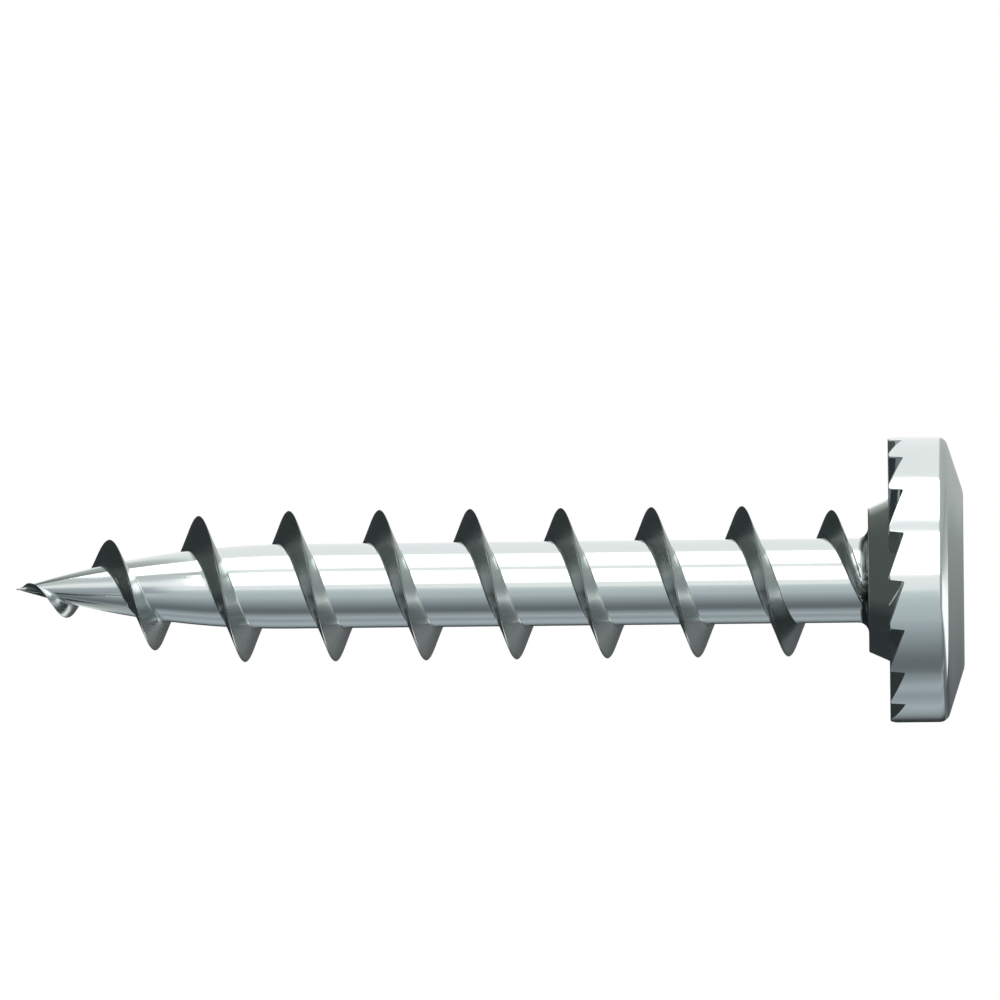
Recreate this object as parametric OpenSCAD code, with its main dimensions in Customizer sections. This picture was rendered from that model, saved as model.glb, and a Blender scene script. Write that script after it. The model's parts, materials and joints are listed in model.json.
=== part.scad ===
/* [Thread] */
// Diameter over the crests of the thread
thread_d = 5; // [4.4:0.1:6]
// Diameter of the core between two turns
core_d = 2.8; // [2.4:0.05:3.4]
// Distance from one turn to the next
pitch = 3; // [2:0.1:4]
// Angle between the two sides of the thread
thread_angle = 36; // [30:1:50]
// Width of the narrow flat along the crest
crest_w = 0.1; // [0.06:0.02:0.2]
// Direction in which the thread starts at the tip, 0 being straight down
thread_start = 174; // [0:1:359]
// Distance from the head to the place where the thread has died out
thread_end = 0.82; // [0.8:0.02:4]
// Turns over which the thread dies out towards the head
runout_turns = 0.7; // [0.3:0.05:1.5]

/* [Length and point] */
// Length from the underside of the head to the tip
length = 28.9; // [22:0.1:60]
// Length over which the core narrows to the tip
point_len = 9.1; // [6:0.05:12]
// Length over which the crests of the thread close in on the tip
crest_point_len = 8; // [6:0.05:12]

/* [Neck and collar] */
// Height of the conical collar under the head
collar_h = 0.68; // [0.4:0.02:0.78]
// Diameter of the collar at its lower end
collar_d = 4.76; // [4.2:0.02:5.2]
// Angle between the side of the collar and the screw's axis
collar_angle = 24.5; // [10:0.5:35]
// Radius of the fillet between the core and the collar
neck_r = 0.35; // [0.1:0.05:0.5]

/* [Head] */
// Diameter of the head
head_d = 9.45; // [8.8:0.05:11]
// Height of the whole head
head_h = 2.48; // [2.3:0.02:3.2]
// Height at which the straight rim ends
rim_h = 1.63; // [1.3:0.01:1.75]
// Radius of the round between the rim and the crown
edge_r = 0.36; // [0.1:0.02:0.4]
// Diameter of the flat on top of the crown
crown_flat_d = 5.8; // [5.6:0.05:6.6]

/* [Locking teeth] */
// Number of teeth under the head
tooth_count = 18; // [12:1:24]
// Depth of the notch in front of each tooth
tooth_depth = 0.5; // [0.2:0.02:0.7]
// Width of the flat on each tooth, as an angle round the axis
tooth_land = 2.5; // [1:0.5:5]
// Direction of one steep tooth face, 0 being straight down
tooth_start = 10.3; // [0:0.1:30]

/* [Cross recess] */
// Distance across the cross, from the end of one wing to the other
recess_span = 5.2; // [4.4:0.05:5.4]
// Width of each wing
wing_w = 1.18; // [0.8:0.02:1.4]
// Radius of the inner corners between two wings
recess_corner_r = 0.12; // [0.06:0.02:0.3]
// Angle between the end of a wing and the screw's axis
wing_slope = 28; // [20:1:32]
// Depth at the outer end of the wings' floor
wing_depth = 1.75; // [1.2:0.05:1.9]
// Depth of the recess in its middle
recess_depth = 2.25; // [1.95:0.05:2.4]

/* [Hidden] */
$fn = 96;

// Straight steps in one turn of the thread
turn_steps = 48;
// Straight steps along the curve of the point
point_steps = 24;
// Straight steps along a fillet or a round
round_steps = 6;
// Straight steps across the ramp of one tooth
ramp_steps = 3;
// How far a cutting shape reaches past what it cuts
reach = 1;
// How far the collar sinks into the head
overlap = 0.5;
// Turns from the tip to the beginning of the ridge
first_turn = 0.1;
// Share of the core's radius at which the foot of the ridge lies
root_share = 0.5;
// Share of the core's radius at which the dying ridge ends
buried_share = 0.92;

thread_r = thread_d / 2;
core_r = core_d / 2;
head_r = head_d / 2;
crown_flat_r = crown_flat_d / 2;
last_turn = (length - thread_end) / pitch;

// Radius of a pointed nose at a distance from its tip: an arc that ends parallel to the axis
function nose_radius(distance, full_r, nose_len) =
    let (arc_r = (full_r * full_r + nose_len * nose_len) / (2 * full_r))
    distance >= nose_len
        ? full_r
        : sqrt(arc_r * arc_r - pow(nose_len - max(distance, 0), 2)) - (arc_r - full_r);

function core_at(distance) = nose_radius(distance, core_r, point_len);
function crest_at(distance) = nose_radius(distance, thread_r, crest_point_len);

// Points of an arc round a centre, from one angle to another
function arc(centre, radius, from, to) = [
    for (i = [0 : round_steps])
        let (angle = from + (to - from) * i / round_steps)
        centre + radius * [cos(angle), sin(angle)]
];

// Faces of a body made of rings with four points each, closed at both ends
function loft_faces(steps) =
    let (
        top = 4 * steps,
        sides = [
            for (i = [0 : steps - 1], j = [0 : 3])
                let (a = 4 * i + j, b = 4 * i + (j + 1) % 4)
                each [[a, b, b + 4], [a, b + 4, a + 4]]
        ],
        ends = [[2, 1, 0], [3, 2, 0], [top, top + 1, top + 2], [top, top + 2, top + 3]]
    )
    concat(sides, ends);

// The screw is drawn upright, its head up and the underside of the head at height 0.
// Then it is laid down: it touches the ground with the rim of its head and one crest.

// Distances from the tip at which the thread passes straight below the lying screw
low_crests = [
    for (turn = [ceil(thread_start / 360) : floor(last_turn + thread_start / 360)])
        (turn - thread_start / 360) * pitch
];
lie_angle = min([
    for (distance = low_crests)
        atan((head_r - crest_at(distance)) / (length - distance))
]);

// Furthest points of the lying screw along the ground, from the underside of its head
tip_x = -length * cos(lie_angle);
crown_x = head_h * cos(lie_angle) + crown_flat_r * sin(lie_angle);

module lay_down() {
    translate([-(tip_x + crown_x) / 2, 0, head_r * cos(lie_angle)])
        rotate([0, 90 - lie_angle, 0])
            children();
}

// Core with its curved point, and the fillet up to the collar
module shank() {
    point = [
        for (i = [0 : point_steps])
            let (distance = point_len * i / point_steps)
            [core_at(distance), distance - length]
    ];
    fillet = arc([core_r + neck_r, -collar_h - neck_r], neck_r, 180, 90);
    rotate_extrude()
        polygon(concat(point, fillet, [[core_r + neck_r, 0], [0, 0]]));
}

// One section of the ridge: root and crest on the tip side, then crest and root on the head side
function ridge_section(turn) =
    let (
        distance = pitch * turn,
        fade = sqrt(1 - pow(max(0, 1 - (last_turn - turn) / runout_turns), 2)),
        buried = core_at(distance) * buried_share,
        crest = buried + (crest_at(distance) - buried) * fade,
        root = core_at(distance) * root_share,
        root_w = crest_w + 2 * (crest - root) * tan(thread_angle / 2),
        angle = thread_start + 360 * turn,
        height = distance - length
    )
    [
        for (corner = [[root, -root_w], [crest, -crest_w], [crest, crest_w], [root, root_w]])
            [corner[0] * cos(angle), corner[0] * sin(angle), height + corner[1] / 2]
    ];

// Ridge wound round the core, from just above the tip to the head
module thread() {
    turns = last_turn - first_turn;
    steps = round(turns * turn_steps);
    points = [
        for (i = [0 : steps])
            each ridge_section(first_turn + turns * i / steps)
    ];
    polyhedron(points, loft_faces(steps));
}

// Cone under the head, which shows again at the bottom of the notches
module collar() {
    grow = tan(collar_angle);
    height = collar_h + tooth_depth + overlap;
    translate([0, 0, -collar_h])
        cylinder(h = height, r1 = collar_d / 2, r2 = collar_d / 2 + height * grow);
}

// Head without its recess and teeth: straight rim, round edge, conical crown and a flat
module head_blank() {
    // The round starts upright at the rim and ends along the crown's slope
    slope = atan((head_h - rim_h - edge_r) / (head_r - edge_r - crown_flat_r));
    round_edge = arc([head_r - edge_r, rim_h], edge_r, 0, 90 - slope);
    rotate_extrude()
        polygon(concat([[0, 0], [head_r, 0]], round_edge, [[crown_flat_r, head_h], [0, head_h]]));
}

// Space between two teeth: a steep wall at one side and a ramp that runs out at the other
module notch() {
    width = 360 / tooth_count - tooth_land;
    inner_r = collar_d / 2 - reach;
    outer_r = head_r + reach;
    points = [
        for (i = [0 : ramp_steps])
            let (angle = width * i / ramp_steps, depth = tooth_depth * (1 - i / ramp_steps))
            each [
                [inner_r * cos(angle), inner_r * sin(angle), -reach],
                [outer_r * cos(angle), outer_r * sin(angle), -reach],
                [outer_r * cos(angle), outer_r * sin(angle), depth],
                [inner_r * cos(angle), inner_r * sin(angle), depth]
            ]
    ];
    polyhedron(points, loft_faces(ramp_steps));
}

module teeth_cut() {
    for (i = [0 : tooth_count - 1])
        rotate(tooth_start + i * 360 / tooth_count)
            notch();
}

// Cross seen from above, with rounded inner corners
module cross_outline() {
    square([recess_span + reach, wing_w], center = true);
    square([wing_w, recess_span + reach], center = true);
    difference() {
        square(wing_w + 2 * recess_corner_r, center = true);
        for (x = [-1, 1], y = [-1, 1])
            translate([x, y] * (wing_w / 2 + recess_corner_r))
                circle(recess_corner_r);
    }
}

// Recess seen from the side: slanting wing ends and a floor that is deepest in the middle
module recess_side() {
    top_r = recess_span / 2;
    floor_r = top_r - wing_depth * tan(wing_slope);
    above_r = top_r + reach * tan(wing_slope);
    polygon([
        [0, -recess_depth],
        [floor_r, -wing_depth],
        [above_r, reach],
        [-above_r, reach],
        [-floor_r, -wing_depth]
    ]);
}

module cross_recess() {
    translate([0, 0, head_h])
        intersection() {
            translate([0, 0, -recess_depth - reach])
                linear_extrude(recess_depth + 2 * reach)
                    cross_outline();
            intersection_for (turn = [0, 90])
                rotate([90, 0, turn])
                    linear_extrude(head_d, center = true)
                        recess_side();
        }
}

module screw() {
    color([0.74, 0.77, 0.78])
        lay_down() {
            difference() {
                union() {
                    difference() {
                        head_blank();
                        teeth_cut();
                    }
                    collar();
                }
                cross_recess();
            }
            shank();
            thread();
        }
}

screw();
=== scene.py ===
# %% [markdown]
# # A pan head wood screw with a sharp point
# The real screw starts as a piece of steel wire. One blow forms the head, the next ones press in the
# cross and the teeth under the head, and two dies roll the thread on. At last it gets a skin of bright
# zinc. So it is one piece of metal with one skin, and here it is one closed mesh with one material.
#
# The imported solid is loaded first. It says how long the screw is and how it lies on the ground, and
# the fine mesh below is built to its sizes.

# %% Load the screw's solid
import json
import math

import bpy
import numpy as np
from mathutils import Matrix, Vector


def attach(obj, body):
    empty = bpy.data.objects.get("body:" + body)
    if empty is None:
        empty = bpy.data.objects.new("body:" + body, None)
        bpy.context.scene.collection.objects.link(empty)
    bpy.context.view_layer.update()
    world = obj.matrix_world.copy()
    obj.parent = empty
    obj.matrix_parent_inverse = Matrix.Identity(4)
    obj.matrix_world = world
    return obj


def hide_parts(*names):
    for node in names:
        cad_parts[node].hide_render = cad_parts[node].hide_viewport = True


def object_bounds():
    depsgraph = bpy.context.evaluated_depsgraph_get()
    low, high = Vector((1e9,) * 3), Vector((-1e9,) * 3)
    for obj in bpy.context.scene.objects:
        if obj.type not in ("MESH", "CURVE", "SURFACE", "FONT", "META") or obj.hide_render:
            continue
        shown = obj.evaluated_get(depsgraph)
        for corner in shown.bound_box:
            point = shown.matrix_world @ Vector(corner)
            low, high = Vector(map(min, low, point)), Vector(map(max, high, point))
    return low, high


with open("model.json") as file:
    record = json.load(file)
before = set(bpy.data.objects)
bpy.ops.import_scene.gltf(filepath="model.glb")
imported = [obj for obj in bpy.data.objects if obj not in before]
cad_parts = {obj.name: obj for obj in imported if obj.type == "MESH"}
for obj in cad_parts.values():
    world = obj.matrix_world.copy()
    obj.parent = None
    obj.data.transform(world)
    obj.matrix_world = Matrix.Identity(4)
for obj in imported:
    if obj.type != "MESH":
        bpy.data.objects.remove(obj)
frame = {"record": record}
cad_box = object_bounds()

print("Solid:", [round(1000 * (b - a), 2) for a, b in zip(*cad_box)], "mm")

# %% [markdown]
# ## Sizes
# Blender counts in metres and a screw is measured in millimetres, so every size below is a number
# times `mm`. They are the sizes of a 5 x 30 screw. The thread's crest is narrow, its two sides stand
# 36 degrees apart, and one turn climbs 3 mm.

# %% Sizes of the screw
mm = 0.001

THREAD_R, CORE_R, PITCH = 2.5 * mm, 1.4 * mm, 3 * mm
FLANK = math.tan(math.radians(18))
CREST_W = 0.04 * mm
# Direction in which the thread starts at the tip, in degrees from straight down
THREAD_START = 174
# Distance below the head at which the thread has died out, and the turns that this takes
THREAD_END, RUNOUT_TURNS = 0.82 * mm, 0.7

LENGTH = 28.9 * mm
CORE_POINT, CREST_POINT = 9.1 * mm, 8 * mm

COLLAR_H, COLLAR_R = 0.68 * mm, 2.38 * mm
COLLAR_SLOPE = math.tan(math.radians(24.5))
NECK_R = 0.35 * mm

HEAD_R, HEAD_H, RIM_H = 4.725 * mm, 2.48 * mm, 1.63 * mm
EDGE_R, CROWN_FLAT_R = 0.36 * mm, 2.9 * mm

TEETH, TOOTH_DEPTH = 18, 0.5 * mm
# Direction of one steep tooth wall and width of the flat on each tooth, in degrees
TOOTH_START, TOOTH_LAND = 10.3, 2.5

WING_REACH, WING_HALF, WING_DEPTH = 2.6 * mm, 0.59 * mm, 1.75 * mm
WING_SLOPE = math.tan(math.radians(28))
RECESS_DEPTH = 2.25 * mm
print("Thread", 2 * THREAD_R / mm, "mm wide,", round(LENGTH / mm, 1), "mm below a head of",
      round(2 * HEAD_R / mm, 2), "mm")

# %% [markdown]
# ## Where the screw lies
# A screw on a table leans on the rim of its head and on one crest of its thread, so its axis isn't
# level. The shape is worked out upright, in the screw's own directions, and then laid down. The packed
# record holds the place and the direction of the cross in the head, and from these two come the three
# directions that are needed: along the axis to the head, straight down across it, and to the back.

# %% The screw's own directions
cross = next(m for m in frame["record"]["mounts"] if m["name"] == "drive_recess")
AXIS = np.array(cross["axis"]) / np.linalg.norm(cross["axis"])
BACK = np.array([0.0, 1.0, 0.0])
DOWN = np.cross(BACK, AXIS)
UNDER_HEAD = np.array(cross["pos_m"]) - HEAD_H * AXIS


def lay_down(radius, angle, height):
    """Points of the lying screw: the middle of the head's underside, plus the height along the axis,
    plus the radius turned by the angle in degrees from straight down towards the back."""
    turn = np.radians(angle)
    across = (radius * np.cos(turn))[..., None] * DOWN + (radius * np.sin(turn))[..., None] * BACK
    return UNDER_HEAD + across + np.asarray(height)[..., None] * AXIS


print("The axis rises by", round(math.degrees(math.asin(AXIS[2])), 2), "degrees")

# %% [markdown]
# ## Lines round the screw
# The mesh is a grid that is wrapped round the screw. Its first direction is the angle, and all rows
# use the same 216 angles, 12 for each of the 18 teeth. They aren't evenly spread: four of them crowd
# round the steep wall of a tooth and three round its tip, so that both get a small clean bevel.

# %% Angles of the grid
TOOTH_STEP = 360 / TEETH
RAMP = TOOTH_STEP - TOOTH_LAND
in_tooth = np.array([-0.8, -0.3, 0.3, 1.1, 4, 7, 10, 13, 16, RAMP - 0.3, RAMP + 0.3, RAMP + 0.9])
COLUMNS = TEETH * len(in_tooth)
angles = (TOOTH_START + TOOTH_STEP * np.arange(TEETH)[:, None] + in_tooth).ravel()
print(COLUMNS, "angles, from", angles[0], "to", angles[-1])

# %% [markdown]
# ## Thread and point
# The thread could be a strip that is wound round the core and joined to it, but then a hard line is
# left where they meet. Here core and thread are one surface: a rule that gives the distance from the
# axis at any angle and height. The core and the crest of the thread both grow from the tip along an
# arc. The side of the thread falls off evenly from the crest, and a smooth maximum of thread and core
# leaves the small fillet that the rolling dies leave.

# %% Distance from the axis
# Width of the blend at the thread's foot, and how far the thread's ends sink into the core
FOOT_BLEND, SUNK = 0.05 * mm, 0.08 * mm
# Turns in which the thread rises out of the core at the tip
FIRST_RISE = 0.12


def nose(distance, full_r, length):
    """Radius of a pointed nose: an arc from the tip that ends parallel to the axis after the length."""
    arc = (full_r**2 + length**2) / (2 * full_r)
    left = np.clip(length - distance, 0, length)
    return np.sqrt(arc**2 - left**2) - (arc - full_r)


def smooth_max(a, b, width):
    """The larger of two values, rounded off where they differ by less than the width."""
    return np.maximum(a, b) + np.maximum(width - np.abs(a - b), 0) ** 2 / (4 * width)


def crest_radius(turns):
    """Crest of the thread after a number of turns from the tip: it grows with its nose, and an ellipse
    takes it down into the core below the collar."""
    last = (LENGTH - THREAD_END) / PITCH
    fade = np.sqrt(1 - np.clip(1 - (last - turns) / RUNOUT_TURNS, 0, 1) ** 2)
    fade = fade * np.clip(turns / FIRST_RISE, 0, 1)
    buried = nose(PITCH * turns, CORE_R, CORE_POINT) - SUNK
    return buried + (nose(PITCH * turns, THREAD_R, CREST_POINT) - buried) * fade


def shank_radius(angle, height):
    """Core or thread, whichever is larger. The nearest crest is found from the angle, and the side of
    the thread is a hyperbola: rounded at the crest, then straight at the flank's angle."""
    distance = height + LENGTH
    start = (angle - THREAD_START) / 360
    turns = start + np.round(distance / PITCH - start)
    aside = (distance - PITCH * turns) / FLANK
    tip_round = CREST_W / 2 / FLANK
    thread = crest_radius(turns) + tip_round - np.sqrt(tip_round**2 + aside**2)
    return smooth_max(nose(distance, CORE_R, CORE_POINT), thread, FOOT_BLEND)


seventh_crest = (7 - THREAD_START / 360) * PITCH - LENGTH
print("Crest", round(shank_radius(0, seventh_crest) / mm, 3), "mm from the axis")

# %% [markdown]
# ## Rows that follow the thread
# A thread cut by level rows gets a ragged crest. So the rows climb with the thread, as on a real
# helix: 21 of them lie on the thread, from fillet to fillet, and 5 on the core up to the next turn.
# After one turn a row has climbed to where the row 26 places further on began, and there the grid is
# joined to itself. At the tip and at the neck each row stops at a level ring.

# %% Helical grid
# The level rings at the tip and at the neck
BOTTOM, NECK = -LENGTH + 0.12 * mm, -COLLAR_H - NECK_R
# Places of the rows on one side of the thread, 0 being the crest and 1 its foot
side_rows = np.array([0.04, 0.09, 0.16, 0.5, 0.88, 0.95, 1, 1.05, 1.1, 1.4])
on_thread = np.concatenate([-side_rows[::-1], [0], side_rows])
ON_CORE = 5
TURN_ROWS = len(on_thread) + ON_CORE
# Turns from below the tip to above the neck
turn_numbers = np.arange(-1, 12)
LEAST_RISE = 0.05 * mm


def half_width(turns):
    """Half the width of the thread at its foot: half the crest plus the thread's height times the
    slope of its side. The height counts as a little more than 0 where the thread has ended."""
    rise = crest_radius(turns) - nose(PITCH * turns, CORE_R, CORE_POINT)
    return CREST_W / 2 + np.maximum(rise, LEAST_RISE) * FLANK


def helix_heights():
    """Height of each row at each angle. Thread rows are multiples of the thread's half width, and core
    rows share out what is left up to the next turn."""
    turns = (angles - THREAD_START) / 360 + turn_numbers[:, None]
    here, above = half_width(turns), half_width(turns + 1)
    thread_rows = on_thread[None, :, None] * here[:, None, :]
    low, high = on_thread[-1] * here, PITCH + on_thread[0] * above
    share = (np.arange(1, ON_CORE + 1) / (ON_CORE + 1))[None, :, None]
    core_rows = low[:, None, :] + (high - low)[:, None, :] * share
    rows = np.concatenate([thread_rows, core_rows], axis=1) + PITCH * turns[:, None, :] - LENGTH
    return rows.reshape(-1, COLUMNS)


free = helix_heights()
heights = np.clip(free, BOTTOM, NECK)
helix_points = lay_down(shank_radius(angles, heights), angles, heights)
print(len(free), "rows,", np.count_nonzero(free == heights), "points between tip and neck")

# %% [markdown]
# Between two rows and two angles lies one cell of the grid, and two triangles fill it. Rows that have
# reached a ring at either end run along it, so their cells there have shrunk to nothing.

# %% Join the helical rows into triangles
def two_triangles(low, low_next, high_next, high):
    """Two triangles for each cell with four corners: rows of three point numbers, all wound the same
    way."""
    lower = np.stack([low, low_next, high_next], -1).reshape(-1, 3)
    upper = np.stack([low, high_next, high], -1).reshape(-1, 3)
    return np.concatenate([lower, upper])


def helix_triangles(free):
    """Triangles of the grid, and the level rings at both its ends. Points below or above the rings
    count as the ring's own point at that angle, and triangles that shrink to a line are left out."""
    rows, columns = free.shape
    index = np.arange(rows * columns).reshape(rows, columns)
    low_ring, high_ring = index[0], index[-1]
    index = np.where(free <= BOTTOM, low_ring, np.where(free >= NECK, high_ring, index))
    wrapped = np.full((rows, 1), -1)
    wrapped[:-TURN_ROWS, 0] = index[TURN_ROWS:, 0]
    wrapped[-TURN_ROWS:, 0] = high_ring[0]
    index = np.hstack([index, wrapped])
    all_faces = two_triangles(index[:-1, :-1], index[:-1, 1:], index[1:, 1:], index[1:, :-1])
    one, two, three = all_faces.T
    real = (one != two) & (two != three) & (three != one)
    return all_faces[real], low_ring, high_ring


helix_faces, low_ring, high_ring = helix_triangles(free)
print(len(helix_faces), "triangles on shank and thread")

# %% [markdown]
# ## Level rings for collar and head
# Everything above the neck is a stack of closed rings. A ring is three lists: a radius, an angle and
# a height for each of the 216 places. Where the screw is round, one number serves for the whole ring.
# First come the neck, into which the thread runs out, the collar and the teeth. A tooth is a
# long ramp and a steep wall, and the ring on its floor simply goes up and down with it.

# %% Neck, collar and teeth
rings = []
bevel = 0.03 * mm
NECK_STEPS = 10
# Radius of the first ring on the collar's flat lower end
COLLAR_FACE_R = 1.95 * mm
# Degrees beside a tooth's wall that get a height of their own, and these heights as shares of the depth
BESIDE_WALL, BEFORE_WALL_H, BEHIND_WALL_H = 0.5, 0.05, 0.93


def ring(radius, height, angle=angles):
    """Adds one closed row of points to the stack."""
    rings.append(np.broadcast_arrays(radius, angle, height))


def notch_height(angle):
    """Height of the notch floor above the tooth tips: deepest behind the steep wall, then a straight
    ramp down to the next tip. The places just before and just behind the wall have heights of their
    own, which leave a small bevel at either end of it."""
    behind = (angle - TOOTH_START + 0.5 * TOOTH_STEP) % TOOTH_STEP - 0.5 * TOOTH_STEP
    along = (angle - TOOTH_START) % TOOTH_STEP
    ramp = TOOTH_DEPTH * np.clip(1 - along / RAMP, 0, 1)
    height = np.where((behind < 0) & (behind > -BESIDE_WALL), BEFORE_WALL_H * TOOTH_DEPTH, ramp)
    return np.where((behind > 0) & (behind < BESIDE_WALL), BEHIND_WALL_H * TOOTH_DEPTH, height)


def cone_radius(height):
    """Side of the collar, which goes on upwards inside the notches."""
    return COLLAR_R + (height + COLLAR_H) * COLLAR_SLOPE


for bend in np.linspace(1 / NECK_STEPS, 1, NECK_STEPS) * math.pi / 2:
    level = NECK + NECK_R * math.sin(bend)
    flare = CORE_R + NECK_R * (1 - math.cos(bend))
    ring(np.maximum(flare, shank_radius(angles, level)), level)
for radius in (COLLAR_FACE_R, COLLAR_R - 2.5 * bevel, COLLAR_R - bevel):
    ring(radius, -COLLAR_H)
ring(COLLAR_R - 0.2 * bevel, -COLLAR_H + 0.2 * bevel)
floor = notch_height(angles)
for share in (0, 0.07, 0.35, 0.65, 0.93, 1):
    level = (floor - bevel) * share + (bevel - COLLAR_H) * (1 - share)
    ring(cone_radius(level), level)
ring(cone_radius(floor) + bevel, floor)
for share in (0.03, 0.3, 0.65, 0.97, 1):
    ring((cone_radius(floor) + bevel) * (1 - share) + (HEAD_R - bevel) * share, floor)
ring(HEAD_R - 0.3 * bevel, floor + 0.3 * bevel)
ring(HEAD_R, floor + bevel)
ring(HEAD_R, floor + 2.5 * bevel)
print(len(rings), "rings up to the rim")

# %% [markdown]
# ## Rim and crown
# The rim stands straight. A small round leads over into the cone of the crown, and the cone ends at
# the flat in the middle. On the way up the angles glide from the crowded ones of the teeth to even
# ones, because the cross in the middle needs its points elsewhere.

# %% Rim and crown
# First of the even angles, in degrees
EVEN_START = 10
even = EVEN_START + 360 / COLUMNS * np.arange(COLUMNS)
ROUND_STEPS = 7
# Levels of the rings on the rim, and distances of two rings from the border of the flat
rim_levels = (0.75 * mm, 1.1 * mm, RIM_H)
flat_insets = (0.06 * mm, 0.16 * mm)
crown_fall = math.atan((HEAD_H - RIM_H - EDGE_R) / (HEAD_R - EDGE_R - CROWN_FLAT_R))
round_top = math.pi / 2 - crown_fall


def glide(share):
    """Angles on the way from the teeth's to even ones."""
    return angles * (1 - share) + even * share


for level in rim_levels:
    ring(HEAD_R, level)
for bend in np.linspace(round_top / ROUND_STEPS, round_top, ROUND_STEPS):
    ring(HEAD_R - EDGE_R * (1 - math.cos(bend)), RIM_H + EDGE_R * math.sin(bend))
edge_in, edge_up = rings[-1][0][0], rings[-1][2][0]
for share in (0.25, 0.5, 0.75, 0.95):
    level = edge_up + (HEAD_H - edge_up) * share
    ring(edge_in + (CROWN_FLAT_R - edge_in) * share, level, glide(share))
for inset in flat_insets:
    ring(CROWN_FLAT_R - inset, HEAD_H, even)
print("Crown falls by", round(math.degrees(crown_fall), 1), "degrees")

# %% [markdown]
# ## Cross recess
# The punch that makes the cross has four wings with slanting ends. The outline of the cross is drawn
# for one eighth of a turn, from the middle of a wing's end to the corner between two wings, and the
# other seven eighths are copies of it, mirrored and turned. The same outline, grown a little, gives
# the rounded edge at the top, and with shorter wings it gives the wall and the floor.

# %% Outline of the cross
EIGHTH = COLUMNS // 8
END_STEPS, CORNER_STEPS, INNER_STEPS = 5, 5, 3
SIDE_STEPS = EIGHTH - END_STEPS - CORNER_STEPS - INNER_STEPS
# Radius of the corners at a wing's end, and of the corner between two wings
WING_CORNER, INNER_CORNER = 0.15 * mm, 0.12 * mm


def eighth_outline(reach, half, corner, inner):
    """x and y from the middle of a wing's end, round its corner, along its side and into the inner
    corner: straight stretches and two arcs."""
    end = np.linspace(0, half - corner, END_STEPS + 1)[:-1]
    outer = np.radians(np.linspace(0, 90, CORNER_STEPS + 1)[:-1])
    side = np.linspace(reach - corner, half + inner, SIDE_STEPS + 1)[:-1]
    bend = np.radians(np.linspace(-90, -135, INNER_STEPS + 1))
    x = np.concatenate([np.full(END_STEPS, reach), reach - corner + corner * np.cos(outer), side,
                        half + inner + inner * np.cos(bend)])
    y = np.concatenate([end, half - corner + corner * np.sin(outer), np.full(SIDE_STEPS, half),
                        half + inner + inner * np.sin(bend)])
    return x, y


def cross_outline(grow=0.0, shorter=0.0):
    """Radius and angle of the whole cross at the grid's places. Growing it moves all sides outwards."""
    x, y = eighth_outline(
        WING_REACH - shorter + grow, WING_HALF + grow, WING_CORNER + grow, INNER_CORNER - grow)
    radius, angle = np.hypot(x, y), np.degrees(np.arctan2(y, x))
    quarter_r = np.concatenate([radius[:-1], radius[::-1][:-1]])
    quarter_a = np.concatenate([angle[:-1], (90 - angle)[::-1][:-1]])
    full_r = np.tile(quarter_r, 4)
    full_a = (quarter_a + 90 * np.arange(4)[:, None]).ravel()
    shift = round(EVEN_START / 360 * COLUMNS)
    turned = np.concatenate([full_a[shift:], full_a[:shift] + 360])
    return np.roll(full_r, -shift), turned


print("Each eighth of the cross has", EIGHTH, "steps,", SIDE_STEPS, "of them along a wing's side")

# %% [markdown]
# The floor is a shallow four-sided hollow: it falls evenly from the end of each wing to the middle.
# The wall goes down to it along the whole outline, and the last rings close over the middle.

# %% Wall and floor of the cross
def floor_depth(radius, angle):
    """Depth of the floor: the deepest in the middle, less a share for the larger of x and y."""
    x, y = radius * np.cos(np.radians(angle)), radius * np.sin(np.radians(angle))
    far = np.maximum(np.abs(x), np.abs(y)) / (WING_REACH - WING_DEPTH * WING_SLOPE)
    return RECESS_DEPTH - (RECESS_DEPTH - WING_DEPTH) * far


recess_start = len(rings)
lip = 0.05 * mm
for grow in (2.2 * lip, lip):
    grown_r, grown_a = cross_outline(grow=grow)
    ring(grown_r, HEAD_H, grown_a)
lip_r, lip_a = cross_outline(grow=0.3 * lip)
ring(lip_r, HEAD_H - 0.3 * lip, lip_a)
foot_r, foot_a = cross_outline(shorter=WING_DEPTH * WING_SLOPE)
foot = floor_depth(foot_r, foot_a)
for share in (0.03, 0.25, 0.5, 0.75, 0.96):
    wall_r, wall_a = cross_outline(shorter=WING_DEPTH * WING_SLOPE * share)
    ring(wall_r, HEAD_H - foot * share, wall_a)
for share in (0.96, 0.75, 0.5, 0.25, 0.08):
    ring(foot_r * share, HEAD_H - floor_depth(foot_r * share, foot_a), foot_a)
print(len(rings), "rings in all")

# %% [markdown]
# ## One closed mesh
# Now everything is put in one list of points: the helical grid, two small rings below it, the stack
# of rings, the tip, and one point in the middle of the recess. Neighbouring rings are joined by
# triangles, all wound the same way, so that the faces point out of the metal.

# %% Points and triangles of the whole screw
# Distance from the tip and radius of the two smallest rings
TIP_SIZES = ((0.02 * mm, 0.018 * mm), (0.06 * mm, 0.03 * mm))
TIP_POINTS = len(TIP_SIZES) * COLUMNS
tip_rings = [
    lay_down(np.full(COLUMNS, radius), angles, np.full(COLUMNS, distance - LENGTH))
    for distance, radius in TIP_SIZES
]
stack = np.stack([lay_down(r, a, h) for r, a, h in rings])
tip = lay_down(np.zeros(1), np.zeros(1), np.array([-LENGTH]))
middle = lay_down(np.zeros(1), np.zeros(1), np.array([HEAD_H - RECESS_DEPTH]))

points = np.concatenate([helix_points.reshape(-1, 3), *tip_rings, stack.reshape(-1, 3), tip, middle])
counts = np.cumsum([helix_points.shape[0] * COLUMNS, TIP_POINTS, stack.shape[0] * COLUMNS])
tip_index = np.arange(counts[0], counts[1]).reshape(-1, COLUMNS)
stack_index = np.arange(counts[1], counts[2]).reshape(-1, COLUMNS)


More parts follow.
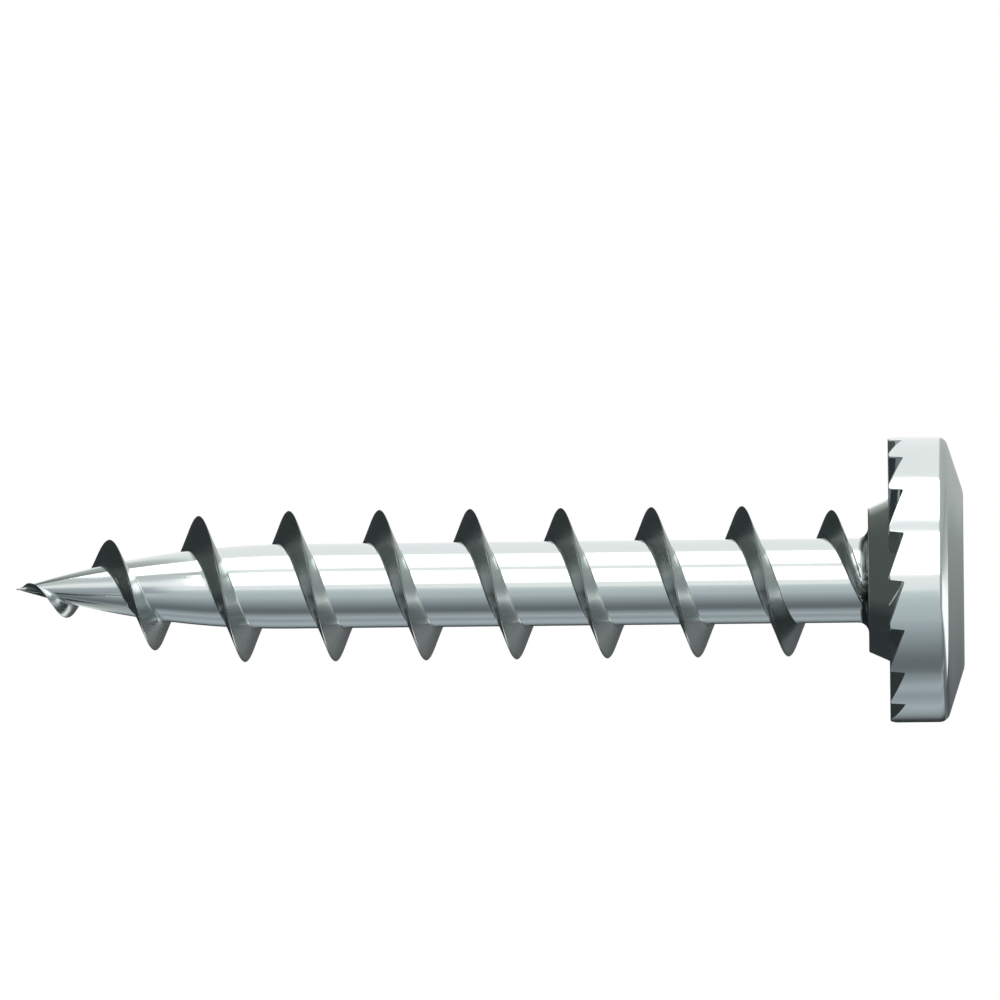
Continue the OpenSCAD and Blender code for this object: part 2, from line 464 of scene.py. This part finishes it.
def band(lower, upper):
    """Two triangles for each place between two closed rings."""
    return two_triangles(lower, np.roll(lower, -1), np.roll(upper, -1), upper)


def fan(edge, centre):
    """A cap of triangles from a closed ring to one point."""
    return np.stack([edge, np.roll(edge, -1), np.full(len(edge), centre)], -1)


below_grid = [*tip_index, low_ring]
above_grid = [high_ring, *stack_index]
triangles = np.concatenate([
    fan(tip_index[0], counts[2])[:, ::-1],
    *[band(lower, upper) for lower, upper in zip(below_grid[:-1], below_grid[1:])],
    helix_faces,
    *[band(lower, upper) for lower, upper in zip(above_grid[:-1], above_grid[1:])],
    fan(stack_index[-1], counts[2] + 1),
])
print(len(triangles), "triangles")

# %% [markdown]
# ## Bright and duller places, and painted shade in the neck
# The dies that roll the thread leave its sides duller than the drawn wire between them, and the
# punches do the same to the neck and to the inside of the cross. The neck is also darkened with
# painted shade, for the shade that falls in the corner under the collar. One material can do it all if
# the mesh tells it where: each point gets a number, 0 where the metal is bright, 1 where it is duller
# and 2 where it is also darkened with painted shade.

# %% Number for dullness
# Height above the core in which the thread's dullness sets in
DULL_FADE = 0.06 * mm
from_axis = np.linalg.norm(np.cross(helix_points - UNDER_HEAD, AXIS), axis=-1)
core_there = nose(heights + LENGTH, CORE_R, CORE_POINT)
thread_dull = np.clip((from_axis - core_there) / DULL_FADE, 0, 1)
ring_heights = np.stack([h for _, _, h in rings])
ring_number = np.arange(len(rings))[:, None]
# In the neck the number climbs to 2, which is painted shade for the corner under the collar.
neck_dull_and_shade = np.where(ring_heights < -COLLAR_H, np.clip(ring_number, 0, 2), 0)
cross_dull = np.where(ring_number > recess_start, np.clip((HEAD_H - ring_heights) / lip, 0, 1), 0)
stack_dull = (neck_dull_and_shade + cross_dull).ravel()
tip_dull, middle_dull = 0, 1
dull_and_shade = np.concatenate([
    thread_dull.ravel(), np.full(TIP_POINTS, tip_dull), stack_dull, [tip_dull, middle_dull]])
print(round(100 * np.count_nonzero(dull_and_shade > 0.5) / len(dull_and_shade)), "percent of the points are dull")

# %% [markdown]
# Blender takes the lists as they are. Smooth shading rounds the small facets off. Edges that turn by
# more than 50 degrees stay sharp, such as those beside the teeth's walls, the foot of the cross and
# the very crest of the thread.

# %% Put them into a Blender mesh
SHARP_ANGLE = math.radians(50)


def mesh_piece(name, points, triangles, dull_and_shade):
    """A new object at the origin from a list of points, a list of triangles and a number for each
    point. Points that no triangle uses are dropped first."""
    used, corners = np.unique(triangles, return_inverse=True)
    mesh = bpy.data.meshes.new(name)
    mesh.vertices.add(len(used))
    mesh.vertices.foreach_set("co", points[used].astype(np.float32).ravel())
    mesh.loops.add(corners.size)
    mesh.loops.foreach_set("vertex_index", corners.ravel().astype(np.int32))
    mesh.polygons.add(len(triangles))
    mesh.polygons.foreach_set("loop_start", np.arange(0, corners.size, 3, dtype=np.int32))
    mesh.update(calc_edges=True)
    numbers = mesh.attributes.new("dull_and_shade", "FLOAT", "POINT")
    numbers.data.foreach_set("value", dull_and_shade[used].astype(np.float32))
    mesh.validate()
    piece = bpy.data.objects.new(name, mesh)
    bpy.context.scene.collection.objects.link(piece)
    return piece


screw = mesh_piece("zinc_screw", points, triangles, dull_and_shade)
screw.data.shade_smooth()
screw.data.set_sharp_from_angle(angle=SHARP_ANGLE)
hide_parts("screw")
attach(screw, "root")
print(len(screw.data.vertices), "points in", screw.name)

# %% [markdown]
# ## Bright zinc
# A zinc bath leaves a skin of a few thousandths of a millimetre. It is bright, a little bluish, and
# not quite even: its gloss changes from place to place, and close up it has a very fine grain. So
# the material is a plain metal whose roughness follows a cloudy pattern about 1.5 mm across, with a
# fine grain in its bump. Where the number for dullness is 1, it is greyer and rougher, and up to 2
# it gets darker, which is painted shade for the neck. The real grain is far below a tenth of a
# millimetre. It is drawn 0.08 mm wide, so that it can show at all.

# %% Colours and nodes
def srgb(text):
    """A colour written as in a paint program, turned into the light values that Blender counts in."""
    parts = np.array([int(text[i:i + 2], 16) for i in (1, 3, 5)]) / 255
    linear = np.where(parts <= 0.04045, parts / 12.92, ((parts + 0.055) / 1.055) ** 2.4)
    return (*linear.tolist(), 1.0)


def add(tree, kind, links=None, **settings):
    """Adds one node. Settings that name an input fill it, the others set the node itself, and links
    join outputs of other nodes to its inputs."""
    node = tree.nodes.new(kind)
    for name, value in settings.items():
        label = name.replace("_", " ").title()
        if label in node.inputs:
            node.inputs[label].default_value = value
        else:
            setattr(node, name, value)
    for name, output in (links or {}).items():
        tree.links.new(output, node.inputs[name])
    return node


# Sizes of the cloudy pattern and of the grain
CLOUD, GRAIN = 1.5 * mm, 0.08 * mm
# A mix node has sockets for every kind of value: these are its two colours and the mixed one
COLOUR_A, COLOUR_B, MIXED = 6, 7, 2


def bright_zinc():
    """Zinc plating: metal, faintly bluish, with cloudy gloss and a fine grain, greyer and rougher
    where its number is 1, and darkened with painted shade in the neck where it climbs to 2."""
    made = bpy.data.materials.new("bright_zinc_plating")
    made.use_nodes = True
    tree = made.node_tree
    tree.nodes.clear()
    place = add(tree, "ShaderNodeTexCoord").outputs["Object"]
    cloud = add(tree, "ShaderNodeTexNoise", {"Vector": place}, scale=1 / CLOUD, detail=3.0)
    gloss = add(tree, "ShaderNodeMapRange", {"Value": cloud.outputs["Fac"]},
                from_min=0.3, from_max=0.7, to_min=0.08, to_max=0.13)
    # The number for dullness and for painted shade, read from the mesh.
    rolled = add(tree, "ShaderNodeAttribute", attribute_name="dull_and_shade")
    finish = add(tree, "ShaderNodeMapRange", {
        "Value": rolled.outputs["Fac"],
        "To Min": gloss.outputs["Result"],
    }, to_max=0.24)
    tint = add(tree, "ShaderNodeMix", {"Factor": cloud.outputs["Fac"]}, data_type="RGBA")
    tint.inputs[COLOUR_A].default_value = srgb("#E0E6E3")
    tint.inputs[COLOUR_B].default_value = srgb("#DAE2E2")
    grey = add(tree, "ShaderNodeMix", {
        "Factor": rolled.outputs["Fac"],
        COLOUR_A: tint.outputs[MIXED],
    }, data_type="RGBA")
    grey.inputs[COLOUR_B].default_value = srgb("#CED4D2")
    # From 1 to 2 the colour is mixed towards a dark grey: painted shade in the neck.
    shade_share = add(tree, "ShaderNodeMapRange", {"Value": rolled.outputs["Fac"]}, from_min=1.0, from_max=2.0)
    painted_shade = add(tree, "ShaderNodeMix", {
        "Factor": shade_share.outputs["Result"],
        COLOUR_A: grey.outputs[MIXED],
    }, data_type="RGBA")
    painted_shade.inputs[COLOUR_B].default_value = srgb("#7C8280")
    grain = add(tree, "ShaderNodeTexNoise", {"Vector": place}, scale=1 / GRAIN, detail=2.0)
    bump = add(tree, "ShaderNodeBump", {"Height": grain.outputs["Fac"]}, strength=0.06, distance=0.01 * mm)
    shader = add(tree, "ShaderNodeBsdfPrincipled", {
        "Base Color": painted_shade.outputs[MIXED],
        "Roughness": finish.outputs["Result"],
        "Normal": bump.outputs["Normal"],
    }, metallic=1.0)
    add(tree, "ShaderNodeOutputMaterial", {"Surface": shader.outputs["BSDF"]})
    return made


screw.data.materials.append(bright_zinc())
print("Material:", screw.data.materials[0].name)

# %% [markdown]
# ## The sheet it lies on
# The screw lies on white paper. The sheet is so wide that its end is never seen, and it is lit until
# it is as white as the background, so that only the screw's own shadow shows on it. Polished metal
# would mirror the whole sheet and look flat, so reflections don't see the paper. They see the cards
# that follow.

# %% Paper
def stage_face(name, corners, material):
    """A stage piece of one flat face, from its corners in order."""
    mesh = bpy.data.meshes.new(name)
    mesh.from_pydata(corners, [], [tuple(range(len(corners)))])
    mesh.materials.append(material)
    piece = bpy.data.objects.new(name, mesh)
    bpy.context.scene.collection.objects.link(piece)
    return piece


paper = bpy.data.materials.new("white_paper")
paper.use_nodes = True
paper_inputs = paper.node_tree.nodes["Principled BSDF"].inputs
paper_inputs["Base Color"].default_value = srgb("#FAFAFA")
paper_inputs["Roughness"].default_value = 1.0
paper_inputs["Specular IOR Level"].default_value = 0.0

# Half the sheet's side in metres
SHEET_HALF = 100
ground = cad_box[0][2]
sheet = [(x * SHEET_HALF, y * SHEET_HALF, ground) for x, y in ((-1, -1), (1, -1), (1, 1), (-1, 1))]
stage_face("paper", sheet, paper).visible_glossy = False
print("Paper:", 2 * SHEET_HALF, "m wide,", round(ground / mm, 3), "mm up")

# %% [markdown]
# ## Cards
# A photographer gives bright metal its form with cards: it is dark where it mirrors a dark card.
# These stand about 0.4 m off, and only reflections see them. On the tip's side is a card that fades to
# white outwards. Before it stand an almost black one at the back, for the sides of the thread, and a
# pale one in front, for the point. On the head's side is a grey one. Before that stand a strip, which
# draws the bright line on the edge of the head, and a light grey card in front, for the other sides
# of the thread. The last lies below the screw, pale in front and dark behind. A dark band on it, a
# little in front of the screw, is a painted reflection of the screw's own shadow on the paper.

# %% Cards
def beside(x, y, z):
    """A place in metres from the middle: along the screw's axis, to the back, and up."""
    return tuple(x * AXIS + y * BACK - z * DOWN)


def card(name, corners, tones, reading="DOT_PRODUCT", along=(0, 0, 1), level=1.0):
    """A far card that shines in tones: a list of numbers and colours with an even blend from each to
    the next, times a level. The number is the place along a direction, or with LENGTH the distance
    from the screw."""
    made = bpy.data.materials.new(name)
    made.use_nodes = True
    tree = made.node_tree
    tree.nodes.clear()
    first, last = tones[0][0], tones[-1][0]
    place = add(tree, "ShaderNodeTexCoord").outputs["Object"]
    number = add(tree, "ShaderNodeVectorMath", {0: place}, operation=reading)
    number.inputs[1].default_value = along
    share = add(tree, "ShaderNodeMapRange", {"Value": number.outputs["Value"]},
                from_min=first, from_max=last)
    ramp = add(tree, "ShaderNodeValToRGB", {"Fac": share.outputs["Result"]})
    for at, tone in tones[1:-1]:
        ramp.color_ramp.elements.new((at - first) / (last - first)).color = srgb(tone)
    ramp.color_ramp.elements[0].color = srgb(tones[0][1])
    ramp.color_ramp.elements[-1].color = srgb(tones[-1][1])
    glow = add(tree, "ShaderNodeEmission", {"Color": ramp.outputs["Color"]}, strength=level)
    add(tree, "ShaderNodeOutputMaterial", {"Surface": glow.outputs["Emission"]})
    piece = stage_face(name, [beside(*corner) for corner in corners], made)
    piece.visible_camera = piece.visible_diffuse = piece.visible_shadow = False
    print("Card:", name, "with", len(corners), "corners and", len(tones), "tones")


def upright(x, outline):
    """Corners of a card that stands across the axis at x, from an outline of back and up in metres."""
    return [(x, y, z) for y, z in outline]


# Distances from the screw in metres, and half the side of the largest card
FAR, MIDDLE, NEARER = 0.4, 0.39, 0.38
BIG = 4.4
tip_outline = ((-0.7, -BIG), (BIG, -BIG), (BIG, BIG), (-BIG, BIG), (-BIG, 0.8), (-0.7, 0.8))
card("tip_card", upright(-FAR, tip_outline), [
    (0.4, "#505451"), (0.7, "#565A57"), (0.8, "#606460"), (1.1, "#6C706B"), (1.35, "#949894"),
    (1.5, "#A6AAA8"), (2.3, "#C8CCC8"), (3, "#F4F8F8"), (BIG, "#FFFFFF")], reading="LENGTH")
black_outline = ((-1.27, -1.2), (8, -1.2), (8, 0.4), (0.33, 0.4))
card("black_card", upright(-NEARER, black_outline), [
    (-0.05, "#505451"), (0.19, "#34383A"), (6, "#34383A")], along=(0, 0.7, -0.7))
pale_outline = ((-1.3, -0.6), (-0.5, -0.6), (-0.5, 0.2), (-0.25, 0.6), (-0.03, 0.85), (0, 1.5),
                (-1.3, 1.5))
card("pale_card", upright(-MIDDLE, pale_outline), [
    (-0.6, "#7C8084"), (-0.3, "#A8AEB4"), (-0.06, "#B2B8BE"), (0.1, "#ECF0F2"), (0.2, "#FFFFFF"),
    (0.35, "#FFFFFF"), (0.5, "#D4D8D8"), (0.8, "#CCD0D0"), (1.5, "#DCE0DE")])
grey_outline = ((-1, -2), (8, -2), (8, 1.5), (-1, 1.5))
card("grey_card", upright(FAR, grey_outline), [
    (-2, "#484A4C"), (-0.45, "#707476"), (-0.2, "#56585A"), (-0.1, "#5E6062"), (0, "#868A8A"),
    (0.09, "#9A9E9C"), (0.13, "#B4B8B6"), (1.5, "#C4C8C6")])
strip_outline = ((-0.42, -1.2), (0.28, -1.2), (0.28, 0.24), (-0.42, 0.24))
card("white_strip", upright(NEARER, strip_outline), [
    (-1.2, "#5E6264"), (-0.3, "#666A6C"), (-0.21, "#8C9092"), (-0.15, "#FFFFFF"), (0, "#FFFFFF"),
    (0.1, "#AEB2B4"), (0.24, "#96999C")], level=1.3)
side_outline = ((-1.2, -1), (-0.42, -1), (-0.42, 0.5), (-1.2, 0.5))
card("side_card", upright(NEARER, side_outline), [
    (-1, "#8A8E90"), (-0.3, "#A4A8AA"), (0.5, "#B0B4B4")])
# The dark band from -0.16 to -0.09 m is a painted reflection of the screw's shadow on the paper.
ground_outline = ((-1, -2.6), (FAR, -2.6), (FAR, 0), (0.25, 0), (0.25, 8), (-0.1, 8), (-0.1, 0),
                  (-0.25, 0), (-0.25, -0.7), (-1, -0.7))
card("ground_card", [(x, y, -FAR) for x, y in ground_outline], [
    (-2.6, "#DFE9EA"), (-0.69, "#BEC6CA"), (-0.41, "#A2AAAF"), (-0.16, "#70767A"), (-0.09, "#70767A"),
    (0.05, "#B2BAC0"), (0.13, "#9CA4AA"), (0.29, "#B4BCC2"), (0.48, "#9CA4AA"), (0.75, "#666C70"),
    (0.95, "#404446"), (2, "#34383A")], along=(0, 1, 0))

# %% [markdown]
# ## World
# The world is white for the camera and for mirrors, as in a white studio. As a lamp it is dimmer, or it
# would wash out the shadow that the lamps give.

# %% World
# Strength of the white world as a lamp, beside 1 for what is seen of it
WORLD_LAMP = 0.35
world = bpy.data.worlds.new("studio")
bpy.context.scene.world = world
world.use_nodes = True
tree = world.node_tree
tree.nodes.clear()
path = add(tree, "ShaderNodeLightPath")
mirrored = add(tree, "ShaderNodeMath", {
    0: path.outputs["Is Camera Ray"],
    1: path.outputs["Is Glossy Ray"],
}, operation="MAXIMUM")
seen = add(tree, "ShaderNodeMath", {
    0: mirrored.outputs["Value"],
    1: path.outputs["Is Transmission Ray"],
}, operation="MAXIMUM")
strength = add(tree, "ShaderNodeMapRange", {"Value": seen.outputs["Value"]}, to_min=WORLD_LAMP, to_max=1.0)
sky = add(tree, "ShaderNodeBackground", {"Strength": strength.outputs["Result"]}, color=srgb("#FFFFFF"))
add(tree, "ShaderNodeOutputWorld", {"Surface": sky.outputs["Background"]})
print("World: 1 where it is seen,", WORLD_LAMP, "as a lamp")

# %% [markdown]
# ## Lamps
# A large soft light comes from above and a little from behind, so that the shadow falls under the
# screw and towards the viewer. Two long soft boxes draw the bright lines along the screw.

# %% Lamps
# Width of the soft sun in the sky and its tilt towards the viewer, in degrees, and its strength
SUN_WIDTH, SUN_TILT, SUN_STRENGTH = 45, -38, 2.9
# Length of the soft boxes in metres, and how many times white they are
BOX_LENGTH, BOX_LEVEL = 0.9, 1.35

sun_data = bpy.data.lights.new("soft_key", "SUN")
sun_data.angle = math.radians(SUN_WIDTH)
sun_data.energy = SUN_STRENGTH
sun = bpy.data.objects.new("soft_key", sun_data)
sun.rotation_euler = (math.radians(SUN_TILT), 0, 0)
sun.visible_glossy = False
bpy.context.scene.collection.objects.link(sun)


def soft_box(name, low, high, along):
    """A long lamp parallel to the screw, a metre away, that spans two elevations in degrees. To be as
    bright as the level times white, it needs pi times the level for each square metre. Its middle is
    moved along the screw."""
    middle = math.radians((low + high) / 2)
    data = bpy.data.lights.new(name, "AREA")
    data.shape = "RECTANGLE"
    data.size, data.size_y = BOX_LENGTH, 2 * math.tan(math.radians(high - low) / 2)
    data.energy = BOX_LEVEL * math.pi * data.size * data.size_y
    box = bpy.data.objects.new(name, data)
    box.location = beside(along, -math.cos(middle), math.sin(middle))
    box.rotation_euler = (math.radians(90) - middle, -math.asin(AXIS[2]), 0)
    box.visible_diffuse = False
    bpy.context.scene.collection.objects.link(box)
    print("Soft box:", name, "with", round(data.energy, 2), "watts")


soft_box("top_box", low=51, high=91, along=-0.07)
soft_box("front_box", low=5, high=39, along=0.22)

# %% [markdown]
# ## Camera
# The photo looks straight at the side of the screw and shows near and far parts at one size, as a
# drawing does, so the camera is an orthographic one. The screw is almost level in it. The lying screw
# leans by six degrees, so the camera is rolled by the difference.

# %% Camera
# Where the middle of the head's underside lies in the photo, the photo's scale and size in pixels,
# and how far the screw rises in it
HEAD_PIXEL = (889, 580)
PIXELS_PER_MM = 30.2
PHOTO_SIDE = 1000
PHOTO_RISE = math.radians(0.61)
# Distance of the camera from the screw, and the nearest and farthest that it sees, in metres
CAMERA_AWAY, NEAR_END, FAR_END = 0.3, 0.01, 20

camera_data = bpy.data.cameras.new("camera")
camera_data.type = "ORTHO"
camera = bpy.data.objects.new("camera", camera_data)
bpy.context.scene.collection.objects.link(camera)
bpy.context.scene.camera = camera
pixel = mm / PIXELS_PER_MM
camera_data.ortho_scale = PHOTO_SIDE * pixel
roll = math.asin(AXIS[2]) - PHOTO_RISE
right = np.array([math.cos(roll), 0, math.sin(roll)])
up = np.array([-math.sin(roll), 0, math.cos(roll)])
aim = (UNDER_HEAD - right * (HEAD_PIXEL[0] - PHOTO_SIDE / 2) * pixel
       + up * (HEAD_PIXEL[1] - PHOTO_SIDE / 2) * pixel)
camera.location = aim - BACK * CAMERA_AWAY
camera.rotation_euler = (math.radians(90), -roll, 0)
camera_data.clip_start, camera_data.clip_end = NEAR_END, FAR_END
bpy.context.scene.view_settings.view_transform = "Standard"
print("Camera sees", round(PHOTO_SIDE / PIXELS_PER_MM, 1), "mm, rolled by",
      round(math.degrees(roll), 2), "degrees")
